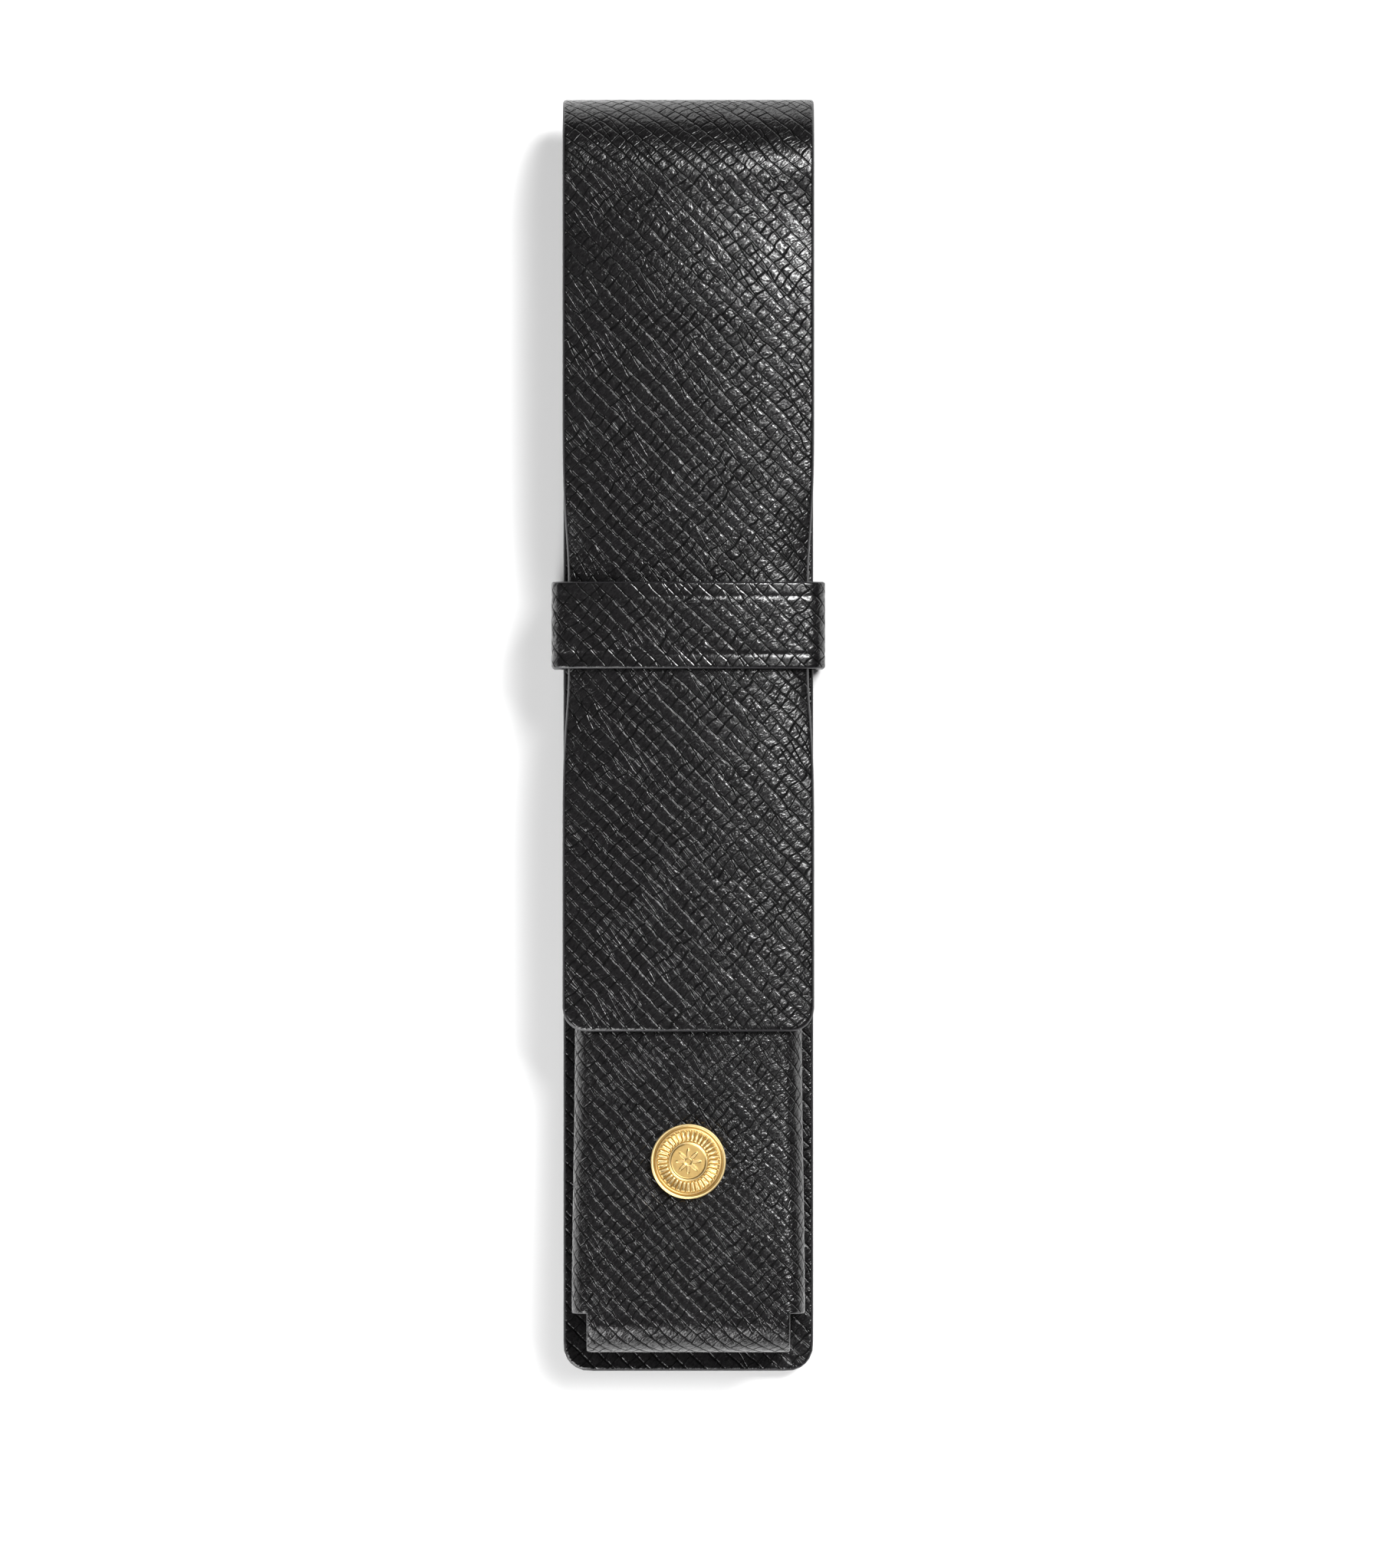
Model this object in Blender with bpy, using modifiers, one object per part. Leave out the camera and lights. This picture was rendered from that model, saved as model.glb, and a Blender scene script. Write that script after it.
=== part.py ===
"""Slim leather case for one fountain pen.

One strip of leather makes the back panel, turns over in a half-round fold and comes down the
front as the flap. A box pocket stands on the back panel and carries a gilt stud. A keeper band
slides over the whole case and holds the flap down.

Frame: +X across the case, +Y up towards the fold, +Z out of the front. The origin lies under
the middle of the case, level with the underside of the band, which the case rests on.
"""

from math import cos, pi, radians, sin, sqrt

import bmesh
import bpy
from mathutils import Vector

MM = 0.001

# Overall sizes
CASE_LENGTH = 165.0 * MM  # lower edge of the back panel to the crown of the fold
STRIP_WIDTH = 32.5 * MM  # back panel, fold and flap
POCKET_DEPTH = 16.8 * MM  # face of the back lining to the face of the pocket

# Layers, and the film of glue between them
LEATHER = 0.8 * MM
LINING = 0.6 * MM
BACK_BOARD = 0.6 * MM
POCKET_LINING = 0.5 * MM
BAND_LEATHER = 0.6 * MM
BAND_LINING = 0.4 * MM
GLUE = 0.2 * MM

# Room to move
FLAP_CLEARANCE = 0.3 * MM  # flap lining to pocket
BAND_CLEARANCE = 0.3 * MM  # band to back panel and to flap
BAND_SIDE_CLEARANCE = 0.2 * MM
FOLD_GAP = 0.3 * MM  # between the sections of the fold
BUTT_GAP = 0.3 * MM  # where the two ends of the band meet

# Strip
BACK_CORNER = 3.3 * MM
FLAP_CORNER = 3.0 * MM
BOARD_MARGIN = 0.4 * MM
BOARD_TO_FOLD = 8.0 * MM
LINING_STEP = 5.0 * MM  # length over which the lining comes down off the end of the board
EDGE_ROUND = 0.2 * MM
FOLD_SECTIONS = 3  # loose sections of the fold between the back panel and the flap

# Pocket
POCKET_SIDE_MARGIN = 1.2 * MM  # back panel showing beside the pocket
POCKET_FOOT_MARGIN = 2.9 * MM  # back panel showing below the pocket
POCKET_MOUTH_FROM_CROWN = 30.5 * MM
POCKET_INNER_RADIUS = 0.3 * MM  # inside of the lining, in the side folds
FOOT_RADIUS = 4.6 * MM  # face of the pocket to its foot wall
NOTCH_HEIGHT = 5.1 * MM  # open corner below each side wall
SIDE_FLANGE = 5.0 * MM
FOOT_FLANGE = 2.4 * MM
MOUTH_DIP = 6.0 * MM
MOUTH_DIP_WIDTH = 19.8 * MM

# Stud
STUD_FROM_FOOT = 27.7 * MM  # lower edge of the back panel to the middle of the stud
STUD_RADIUS = 4.85 * MM
STUD_HEIGHT = 1.3 * MM
STUD_RIM = 0.7 * MM
STUD_FLOOR = 0.35 * MM
STUD_FACE = 0.35 * MM
RIVET_RADIUS = 1.0 * MM
RIVET_HEAD_RADIUS = 1.7 * MM
RIVET_HEAD = 0.4 * MM
RIVET_HOLE_CLEARANCE = 0.25 * MM
WASHER_RADIUS = 3.2 * MM
WASHER = 0.4 * MM

# Flap and band
FLAP_ABOVE_STUD = 11.9 * MM  # rim of the stud to the tip of the flap
BAND_ABOVE_TIP = 46.8 * MM  # tip of the flap to the lower edge of the band
BAND_WIDTH = 11.2 * MM
BAND_INNER_CORNER = 0.6 * MM
BAND_EDGE_ROUND = 0.15 * MM

# Fineness of the bends
FOLD_STEPS = 4  # facets in each section of the fold
BEND_STEPS = 4  # facets in each fold of the pocket and corner of the band
CORNER_STEPS = 5  # facets in each rounded corner of the strip
TURNED_STEPS = 40

# Levels, from the surface that the case rests on
BAND_THICKNESS = BAND_LEATHER + GLUE + BAND_LINING
BACK_FACE_Z = BAND_THICKNESS + BAND_CLEARANCE
BOARD_DEPTH = LEATHER + GLUE
BACK_LINING_DEPTH = BOARD_DEPTH + BACK_BOARD + GLUE
POCKET_BACK_Z = BACK_FACE_Z + BACK_LINING_DEPTH + LINING + GLUE
POCKET_FACE_Z = BACK_FACE_Z + BACK_LINING_DEPTH + LINING + POCKET_DEPTH
FLAP_LINING_DEPTH = LEATHER + GLUE
FLAP_FACE_Z = POCKET_FACE_Z + FLAP_CLEARANCE + LINING + FLAP_LINING_DEPTH
BAND_FACE_Z = FLAP_FACE_Z + BAND_CLEARANCE + BAND_THICKNESS

# Fold, and lengths along the outside of the strip from its lower end
FOLD_RADIUS = (FLAP_FACE_Z - BACK_FACE_Z) / 2
FOLD_Y = CASE_LENGTH / 2 - FOLD_RADIUS
FOLD_Z = (FLAP_FACE_Z + BACK_FACE_Z) / 2
BACK_LENGTH = CASE_LENGTH - FOLD_RADIUS
FOLD_LENGTH = pi * FOLD_RADIUS
BOARD_END = BACK_LENGTH - BOARD_TO_FOLD

# Places along the case
FOOT_Y = -CASE_LENGTH / 2
STUD_Y = FOOT_Y + STUD_FROM_FOOT
FLAP_TIP_Y = STUD_Y + STUD_RADIUS + FLAP_ABOVE_STUD
BAND_Y = FLAP_TIP_Y + BAND_ABOVE_TIP + BAND_WIDTH / 2
STRIP_LENGTH = BACK_LENGTH + FOLD_LENGTH + FOLD_Y - FLAP_TIP_Y

# Pocket outline, on its outer face
SIDE_RADIUS = POCKET_INNER_RADIUS + POCKET_LINING + GLUE + LEATHER
POCKET_HALF_WIDTH = STRIP_WIDTH / 2 - POCKET_SIDE_MARGIN
POCKET_HEIGHT = POCKET_FACE_Z - POCKET_BACK_Z
POCKET_FOOT_Y = FOOT_Y + POCKET_FOOT_MARGIN
POCKET_MOUTH_Y = CASE_LENGTH / 2 - POCKET_MOUTH_FROM_CROWN
NOTCH_Y = POCKET_FOOT_Y + NOTCH_HEIGHT
LINING_OFFSET = LEATHER + GLUE  # pocket's outer face to the outside of its lining

# Stud levels
STUD_BASE_Z = POCKET_FACE_Z + GLUE
WASHER_Z = POCKET_FACE_Z - LINING_OFFSET - POCKET_LINING - GLUE  # washer's upper face


# Collections, empties and finishes

def clear_scene():
    """Start from an empty scene."""
    for thing in list(bpy.data.objects):
        bpy.data.objects.remove(thing, do_unlink=True)


def add_collection(name):
    """A new collection in the scene."""
    collection = bpy.data.collections.new(name)
    bpy.context.scene.collection.children.link(collection)
    return collection


def add_finish(name, colour, roughness, metallic=0.0):
    """A plain material."""
    finish = bpy.data.materials.new(name)
    finish.use_nodes = True
    shader = finish.node_tree.nodes["Principled BSDF"]
    shader.inputs["Base Color"].default_value = (*colour, 1.0)
    shader.inputs["Roughness"].default_value = roughness
    shader.inputs["Metallic"].default_value = metallic
    return finish


def place_of(empty):
    """World position of an empty: nothing is turned, so the locations of its parents add up."""
    place = empty.location.copy()
    while empty.parent:
        empty = empty.parent
        place += empty.location
    return place


def add_body(collection, name, place, parent=None):
    """An empty that carries the pieces that move together, at the axis that they move about."""
    empty = bpy.data.objects.new(name, None)
    empty.empty_display_size = 5 * MM
    empty.location = Vector(place)
    if parent:
        empty.parent = parent
        empty.location -= place_of(parent)
    collection.objects.link(empty)
    return empty


# Leather: a flat sheet is cut, bent, and thickened on its inner side

def cut_sheet(across, along):
    """A flat sheet with a line of points at each across value and each along value."""
    sheet = bmesh.new()
    columns, rows = len(across) - 1, len(along) - 1
    bmesh.ops.create_grid(sheet, x_segments=columns, y_segments=rows, size=1)
    for point in sheet.verts:
        column = round((point.co.x + 1) / 2 * columns)
        row = round((point.co.y + 1) / 2 * rows)
        point.co = (across[column], along[row], 0)
    return sheet


def bend_sheet(sheet, bend, body):
    """Move each point of a sheet to its place in space, measured from its body's axis."""
    origin = place_of(body)
    for point in sheet.verts:
        point.co = Vector(bend(point.co.x, point.co.y)) - origin


def add_sheet(collection, name, sheet, body, finish, thickness, edge_round=0.0):
    """Thicken a bent sheet on its inner side and round its edges."""
    mesh = bpy.data.meshes.new(name)
    sheet.to_mesh(mesh)
    sheet.free()
    mesh.materials.append(finish)
    piece = bpy.data.objects.new(name, mesh)
    piece.parent = body
    collection.objects.link(piece)
    wall = piece.modifiers.new("thickness", "SOLIDIFY")
    wall.thickness = thickness
    wall.offset = -1
    wall.use_even_offset = True
    if edge_round:
        bevel = piece.modifiers.new("edge", "BEVEL")
        bevel.width = edge_round
        bevel.segments = 2
        bevel.limit_method = "ANGLE"
        bevel.angle_limit = radians(60)
    return piece


def spread(start, end, steps):
    """Evenly spaced values from start to end, both included."""
    return [start + (end - start) * step / steps for step in range(steps + 1)]


# The strip: back panel, fold and flap

def strip_point(length, depth):
    """Y and Z at a length along the outside of the strip and a depth below its surface."""
    if length <= BACK_LENGTH:
        return FOOT_Y + length, BACK_FACE_Z + depth
    if length >= BACK_LENGTH + FOLD_LENGTH:
        return FOLD_Y - (length - BACK_LENGTH - FOLD_LENGTH), FLAP_FACE_Z - depth
    angle = (length - BACK_LENGTH) / FOLD_RADIUS
    radius = FOLD_RADIUS - depth
    return FOLD_Y + radius * sin(angle), FOLD_Z - radius * cos(angle)


def hinge_length(number):
    """Length along the strip of a hinge line of the fold, counted from the back panel."""
    return BACK_LENGTH + FOLD_LENGTH * (number + 0.5) / (FOLD_SECTIONS + 1)


def section_ends(number):
    """Lengths at which a section of the fold starts and ends; section 0 is the back panel's."""
    start = hinge_length(number - 1) + FOLD_GAP / 2 if number else 0.0
    end = hinge_length(number) - FOLD_GAP / 2 if number <= FOLD_SECTIONS else STRIP_LENGTH
    return start, end


def corner_inset(distance, radius):
    """How far a rounded corner draws the side in, at a distance from the end."""
    if distance >= radius:
        return 0.0
    return radius - sqrt(max(radius ** 2 - (radius - distance) ** 2, 0.0))


def strip_rows(start, end, start_corner, end_corner):
    """Lengths where a layer of the strip needs a line of points."""
    rows = {start, end}
    for angle in spread(0, pi / 2, CORNER_STEPS):
        if start_corner:
            rows.add(start + start_corner * (1 - cos(angle)))
        if end_corner:
            rows.add(end - end_corner * (1 - cos(angle)))
    facets = FOLD_STEPS * (FOLD_SECTIONS + 1)
    for length in spread(BACK_LENGTH, BACK_LENGTH + FOLD_LENGTH, facets):
        if start + FOLD_GAP < length < end - FOLD_GAP:
            rows.add(length)
    for length in (BOARD_END + FOLD_GAP, BOARD_END + FOLD_GAP + LINING_STEP):
        if start < length < end:
            rows.add(length)
    return sorted(rows)


def add_strip_layer(collection, name, body, finish, ends, depth, thickness,
                    start_corner=0.0, end_corner=0.0, margin=0.0, edge_round=0.0):
    """One layer of the strip between two lengths, its depth given at each length."""
    start, end = ends[0] + margin, ends[1] - margin
    rows = strip_rows(start, end, start_corner, end_corner)
    half_width = STRIP_WIDTH / 2 - margin

    def bend(side, length):
        inset = max(corner_inset(length - start, start_corner), corner_inset(end - length, end_corner))
        return (side * (half_width - inset), *strip_point(length, depth(length)))

    sheet = cut_sheet((1, -1), rows)
    bend_sheet(sheet, bend, body)
    return add_sheet(collection, name, sheet, body, finish, thickness, edge_round)


def back_lining_depth(length):
    """Depth of the back lining: over the board, then down on the leather before the fold."""
    step = (length - BOARD_END - FOLD_GAP) / LINING_STEP
    return BACK_LINING_DEPTH - (BACK_LINING_DEPTH - FLAP_LINING_DEPTH) * min(max(step, 0.0), 1.0)


def add_back(collection, body, leather, lining, board):
    """Back panel: leather outside, a stiffening board, and the lining that the pocket is glued to."""
    add_strip_layer(collection, "back_leather", body, leather, section_ends(0), lambda length: 0.0,
                    LEATHER, start_corner=BACK_CORNER, edge_round=EDGE_ROUND)
    add_strip_layer(collection, "back_board", body, board, (0.0, BOARD_END), lambda length: BOARD_DEPTH,
                    BACK_BOARD, start_corner=BACK_CORNER - BOARD_MARGIN, margin=BOARD_MARGIN)
    add_strip_layer(collection, "back_lining", body, lining, section_ends(0), back_lining_depth,
                    LINING, start_corner=BACK_CORNER)


def add_fold_section(collection, number, body, leather, lining):
    """One section of the fold, leather and lining."""
    ends = section_ends(number)
    add_strip_layer(collection, f"fold_leather_{number}", body, leather, ends, lambda length: 0.0,
                    LEATHER, edge_round=EDGE_ROUND)
    add_strip_layer(collection, f"fold_lining_{number}", body, lining, ends,
                    lambda length: FLAP_LINING_DEPTH, LINING)


def add_flap(collection, body, leather, lining):
    """Flap with rounded corners at its tip, leather and lining."""
    ends = section_ends(FOLD_SECTIONS + 1)
    add_strip_layer(collection, "flap_leather", body, leather, ends, lambda length: 0.0,
                    LEATHER, end_corner=FLAP_CORNER, edge_round=EDGE_ROUND)
    add_strip_layer(collection, "flap_lining", body, lining, ends, lambda length: FLAP_LINING_DEPTH,
                    LINING, end_corner=FLAP_CORNER)


# The pocket: a cross-shaped sheet folded into an open box

def folded(distance, front_radius, back_radius, height):
    """How far out and how far down a point lies, at a distance past the start of the front fold.

    The sheet turns down into a wall, then turns in again as a flange at the given height below.
    """
    front_fold = front_radius * pi / 2
    wall = height - front_radius - back_radius
    back_fold = back_radius * pi / 2
    if distance <= 0:
        return distance, 0.0
    if distance <= front_fold:
        angle = distance / front_radius
        return front_radius * sin(angle), front_radius * (1 - cos(angle))
    distance -= front_fold
    if distance <= wall:
        return front_radius, front_radius + distance
    distance -= wall
    if distance <= back_fold:
        angle = distance / back_radius
        out = front_radius - back_radius * (1 - cos(angle))
        return out, front_radius + wall + back_radius * sin(angle)
    return front_radius - back_radius - (distance - back_fold), height


def fold_lines(front_radius, back_radius, height, flange):
    """Distances past the start of the front fold where a folded edge needs a line of points."""
    front_fold = front_radius * pi / 2
    back_start = front_fold + height - front_radius - back_radius
    back_end = back_start + back_radius * pi / 2
    return (spread(0, front_fold, BEND_STEPS) + spread(back_start, back_end, BEND_STEPS)
            + [back_end + flange])


def wall_lines(front_radius, wall_end):
    """The same for an edge that ends square in its wall, with no flange."""
    return spread(0, front_radius * pi / 2, BEND_STEPS) + [wall_end]


def add_pocket_sheet(collection, name, body, finish, thickness, offset, side_lines, foot_lines):
    """Cut the cross-shaped sheet, fold it at an offset inside the pocket's outer face, thicken it."""
    side_radius, foot_radius = SIDE_RADIUS - offset, FOOT_RADIUS - offset
    flat = POCKET_HALF_WIDTH - SIDE_RADIUS
    foot_fold_y = POCKET_FOOT_Y + FOOT_RADIUS
    height = POCKET_HEIGHT - offset
    right = spread(0, flat, 6)[1:] + [flat + line for line in side_lines[1:]]
    across = [-value for value in reversed(right)] + [0.0] + right
    below = [foot_fold_y - line for line in reversed(foot_lines)]
    along = below + [NOTCH_Y, STUD_Y, POCKET_MOUTH_Y - 2 * MOUTH_DIP, POCKET_MOUTH_Y]
    sheet = cut_sheet(across, along)
    notches = [face for face in sheet.faces
               if abs(face.calc_center_median().x) > flat and face.calc_center_median().y < NOTCH_Y]
    bmesh.ops.delete(sheet, geom=notches, context="FACES")

    def bend(side, length):
        out, down = folded(abs(side) - flat, side_radius, SIDE_RADIUS, height)
        x = (flat + out) * (1 if side > 0 else -1)
        foot_out, foot_down = folded(foot_fold_y - length, foot_radius, SIDE_RADIUS, height)
        y = min(foot_fold_y - foot_out, POCKET_MOUTH_Y - mouth_dip(side))
        return x, y, POCKET_FACE_Z - offset - down - foot_down

    bend_sheet(sheet, bend, body)
    return add_sheet(collection, name, sheet, body, finish, thickness)


def mouth_dip(side):
    """How far the pocket's mouth is cut away for the fingers, at a distance from the middle."""
    if abs(side) >= MOUTH_DIP_WIDTH / 2:
        return 0.0
    return MOUTH_DIP * cos(pi * side / MOUTH_DIP_WIDTH) ** 2


def add_pocket(collection, cutters, body, leather, lining):
    """Pocket leather with flanges glued to the back lining, its own lining, and the stud's hole."""
    side = fold_lines(SIDE_RADIUS, SIDE_RADIUS, POCKET_HEIGHT, SIDE_FLANGE)
    foot = fold_lines(FOOT_RADIUS, SIDE_RADIUS, POCKET_HEIGHT, FOOT_FLANGE)
    outer = add_pocket_sheet(collection, "pocket_leather", body, leather, LEATHER, 0.0, side, foot)

    wall_end = POCKET_HEIGHT - SIDE_RADIUS - LINING_OFFSET  # clear of the folded-in flange
    side_radius, foot_radius = SIDE_RADIUS - LINING_OFFSET, FOOT_RADIUS - LINING_OFFSET
    side = wall_lines(side_radius, wall_end - side_radius + side_radius * pi / 2)
    foot = wall_lines(foot_radius, wall_end - foot_radius + foot_radius * pi / 2)
    inner = add_pocket_sheet(collection, "pocket_lining", body, lining, POCKET_LINING,
                             LINING_OFFSET, side, foot)

    bpy.ops.mesh.primitive_cylinder_add(vertices=24, radius=RIVET_RADIUS + RIVET_HOLE_CLEARANCE,
                                        depth=POCKET_DEPTH / 2, location=(0, STUD_Y, POCKET_FACE_Z))
    hole = bpy.context.object
    hole.name = "rivet_hole"
    hole.hide_render = True
    hole.display_type = "WIRE"
    hole.users_collection[0].objects.unlink(hole)
    cutters.objects.link(hole)
    for piece in (outer, inner):
        cut = piece.modifiers.new("rivet_hole", "BOOLEAN")
        cut.operation = "DIFFERENCE"
        cut.object = hole


# The stud: turned and stamped metal

def add_turned(collection, name, body, finish, profile, z):
    """Turn a closed profile of (radius, height) points about the stud's axis."""
    mesh = bpy.data.meshes.new(name)
    points = [(radius, 0, height) for radius, height in profile]
    closed = profile[0][0] > 0
    edges = [(index, index + 1) for index in range(len(points) - 1)]
    if closed:
        edges.append((len(points) - 1, 0))
    mesh.from_pydata(points, edges, [])
    mesh.materials.append(finish)
    piece = bpy.data.objects.new(name, mesh)
    piece.parent = body
    piece.location = Vector((0, STUD_Y, z)) - place_of(body)
    collection.objects.link(piece)
    screw = piece.modifiers.new("turn", "SCREW")
    screw.steps = screw.render_steps = TURNED_STEPS
    screw.use_merge_vertices = True
    screw.merge_threshold = 0.01 * MM
    screw.use_smooth_shade = True
    return piece


def add_stud(collection, body, gilt, steel):
    """Decorative gilt stud: a rimmed cup holds the face, a rivet and washer hold it to the pocket."""
    inner_rim = STUD_RADIUS - STUD_RIM
    rim_top = STUD_HEIGHT - STUD_RIM / 4
    add_turned(collection, "stud_cup", body, gilt, [
        (0, STUD_FLOOR), (inner_rim, STUD_FLOOR), (inner_rim, rim_top),
        (STUD_RADIUS - 0.75 * STUD_RIM, STUD_HEIGHT), (STUD_RADIUS - 0.25 * STUD_RIM, STUD_HEIGHT),
        (STUD_RADIUS, rim_top), (STUD_RADIUS, STUD_RIM / 4), (STUD_RADIUS - STUD_RIM / 4, 0), (0, 0)],
        STUD_BASE_Z)

    face_radius = inner_rim - GLUE
    dome = STUD_FACE / 2
    add_turned(collection, "stud_face", body, gilt, [
        (0, STUD_FACE), (0.45 * face_radius, STUD_FACE), (0.5 * face_radius, STUD_FACE + dome),
        (0.58 * face_radius, STUD_FACE), (face_radius, STUD_FACE), (face_radius, 0), (0, 0)],
        STUD_BASE_Z + STUD_FLOOR + GLUE)

    washer_floor = WASHER_Z - WASHER
    shank_top = STUD_BASE_Z - GLUE - washer_floor + GLUE
    add_turned(collection, "stud_rivet", body, steel, [
        (0, shank_top), (RIVET_RADIUS, shank_top), (RIVET_RADIUS, 0), (RIVET_HEAD_RADIUS, 0),
        (0.6 * RIVET_HEAD_RADIUS, -RIVET_HEAD), (0, -RIVET_HEAD)],
        washer_floor - GLUE)

    bore = RIVET_RADIUS + RIVET_HOLE_CLEARANCE
    add_turned(collection, "stud_washer", body, steel, [
        (WASHER_RADIUS, WASHER), (WASHER_RADIUS, 0), (bore, 0), (bore, WASHER)],
        washer_floor)


# The keeper band

def band_loop(depth):
    """Points of the band's cross-section at a depth below its outer face, from its butt joint."""
    half_width = STRIP_WIDTH / 2 + BAND_SIDE_CLEARANCE + BAND_THICKNESS
    corner = BAND_INNER_CORNER + BAND_THICKNESS
    radius = corner - depth
    corners = ((half_width - corner, corner, -pi / 2), (half_width - corner, BAND_FACE_Z - corner, 0),
               (corner - half_width, BAND_FACE_Z - corner, pi / 2), (corner - half_width, corner, pi))
    loop = [(BUTT_GAP / 2, depth)]
    for x, z, start in corners:
        for angle in spread(start, start + pi / 2, BEND_STEPS):
            loop.append((x + radius * cos(angle), z + radius * sin(angle)))
    loop.append((-BUTT_GAP / 2, depth))
    return loop


def add_band_layer(collection, name, body, finish, depth, thickness, edge_round=0.0):
    """One layer of the band, bent round the case with its ends meeting under the back."""
    loop = band_loop(depth)
    sheet = cut_sheet((BAND_Y - BAND_WIDTH / 2, BAND_Y + BAND_WIDTH / 2), range(len(loop)))

    def bend(y, station):
        x, z = loop[round(station)]
        return x, y, z

    bend_sheet(sheet, bend, body)
    return add_sheet(collection, name, sheet, body, finish, thickness, edge_round)


def add_band(collection, body, leather, lining):
    """Keeper band, leather and lining."""
    add_band_layer(collection, "band_leather", body, leather, 0.0, BAND_LEATHER, BAND_EDGE_ROUND)
    add_band_layer(collection, "band_lining", body, lining, BAND_LEATHER + GLUE, BAND_LINING)


def build_case():
    """Build the case, closed, with the band in place."""
    clear_scene()
    case = add_collection("fountain_pen_case")
    cutters = add_collection("cutters")

    leather = add_finish("black_grained_leather", (0.012, 0.011, 0.012), 0.42)
    lining = add_finish("black_suede_lining", (0.018, 0.016, 0.016), 0.9)
    board = add_finish("grey_board", (0.16, 0.15, 0.14), 0.9)
    gilt = add_finish("gilt_brass", (0.80, 0.55, 0.20), 0.25, metallic=1.0)
    steel = add_finish("nickelled_steel", (0.62, 0.60, 0.57), 0.3, metallic=1.0)

    back = add_body(case, "back", (0, 0, 0))
    add_back(case, back, leather, lining, board)
    add_pocket(case, cutters, back, leather, lining)
    add_stud(case, back, gilt, steel)

    hinged = back
    for number in range(1, FOLD_SECTIONS + 1):
        hinged = add_body(case, f"fold_{number}", (0, *strip_point(hinge_length(number - 1), 0)), hinged)
        add_fold_section(case, number, hinged, leather, lining)
    flap = add_body(case, "flap", (0, *strip_point(hinge_length(FOLD_SECTIONS), 0)), hinged)
    add_flap(case, flap, leather, lining)

    band = add_body(case, "band", (0, BAND_Y, 0), back)
    add_band(case, band, leather, lining)


build_case()
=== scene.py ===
import math
import bmesh
import bpy
import numpy as np
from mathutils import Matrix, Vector


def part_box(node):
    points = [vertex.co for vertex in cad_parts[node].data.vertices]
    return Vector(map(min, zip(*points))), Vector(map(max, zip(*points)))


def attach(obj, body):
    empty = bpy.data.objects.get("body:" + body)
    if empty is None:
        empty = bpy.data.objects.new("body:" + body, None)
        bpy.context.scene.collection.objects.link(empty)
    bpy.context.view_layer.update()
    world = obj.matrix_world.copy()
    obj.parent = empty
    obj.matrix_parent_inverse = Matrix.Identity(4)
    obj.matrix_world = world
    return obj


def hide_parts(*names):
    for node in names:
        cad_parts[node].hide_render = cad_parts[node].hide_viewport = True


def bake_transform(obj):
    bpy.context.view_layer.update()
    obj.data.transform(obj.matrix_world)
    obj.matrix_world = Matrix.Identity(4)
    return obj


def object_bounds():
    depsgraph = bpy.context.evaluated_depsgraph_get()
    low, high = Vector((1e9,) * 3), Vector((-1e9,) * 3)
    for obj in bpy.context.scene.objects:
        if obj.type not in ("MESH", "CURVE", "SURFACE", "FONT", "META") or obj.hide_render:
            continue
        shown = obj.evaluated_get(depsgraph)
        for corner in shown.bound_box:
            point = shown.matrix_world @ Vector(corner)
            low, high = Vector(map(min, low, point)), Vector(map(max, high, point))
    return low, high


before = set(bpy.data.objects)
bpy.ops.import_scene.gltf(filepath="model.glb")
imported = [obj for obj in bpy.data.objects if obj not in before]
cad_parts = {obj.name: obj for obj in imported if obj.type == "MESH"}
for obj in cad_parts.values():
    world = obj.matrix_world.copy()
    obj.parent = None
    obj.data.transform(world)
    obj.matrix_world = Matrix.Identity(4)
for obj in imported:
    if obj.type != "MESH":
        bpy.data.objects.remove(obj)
cad_low, cad_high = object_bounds()


# The studio: white paper under the case, a softbox high beyond its upper right corner, and a broad, dim one
# low beyond its foot on the left. The camera hangs straight above, far enough away to hide the case's sides.
MM = 0.001
CAMERA_AT = (0.15 * MM, -6.13 * MM, 2.0)
VIEW_HEIGHT = 204.4 * MM
SENSOR = 36.0
PAPER = "#fbfbfb"
AIR = "#e6e6e6"
AIR_STRENGTH = 0.08


def linear(hex_colour, alpha=1.0):
    """An sRGB hex colour as the linear colour that shaders take."""
    parts = [int(hex_colour[i:i + 2], 16) / 255 for i in (1, 3, 5)]
    return [c / 12.92 if c <= 0.04045 else ((c + 0.055) / 1.055) ** 2.4 for c in parts] + [alpha]


def add_node(tree, kind, inputs=None, **settings):
    """Adds a node. Each input, by name or number, is given a value or the socket that feeds it."""
    new = tree.nodes.new(kind)
    for name, value in settings.items():
        setattr(new, name, value)
    for socket, value in (inputs or {}).items():
        if isinstance(value, bpy.types.NodeSocket):
            tree.links.new(value, new.inputs[socket])
        else:
            new.inputs[socket].default_value = value
    return new


def mix_colours(tree, share, low, high):
    """A colour between two hex colours, low where share is 0 and high where it is 1."""
    inputs = {0: share, 6: linear(low), 7: linear(high)}
    return add_node(tree, "ShaderNodeMix", inputs, data_type="RGBA").outputs[2]


def spread(tree, value, low, high):
    """A value from 0 to 1, spread between low and high."""
    return add_node(tree, "ShaderNodeMapRange", {0: value, 3: low, 4: high}).outputs[0]


def new_material(name):
    """An empty material and the node tree that its surface is made in."""
    material = bpy.data.materials.new(name)
    material.use_nodes = True
    material.node_tree.nodes.clear()
    return material, material.node_tree


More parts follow.
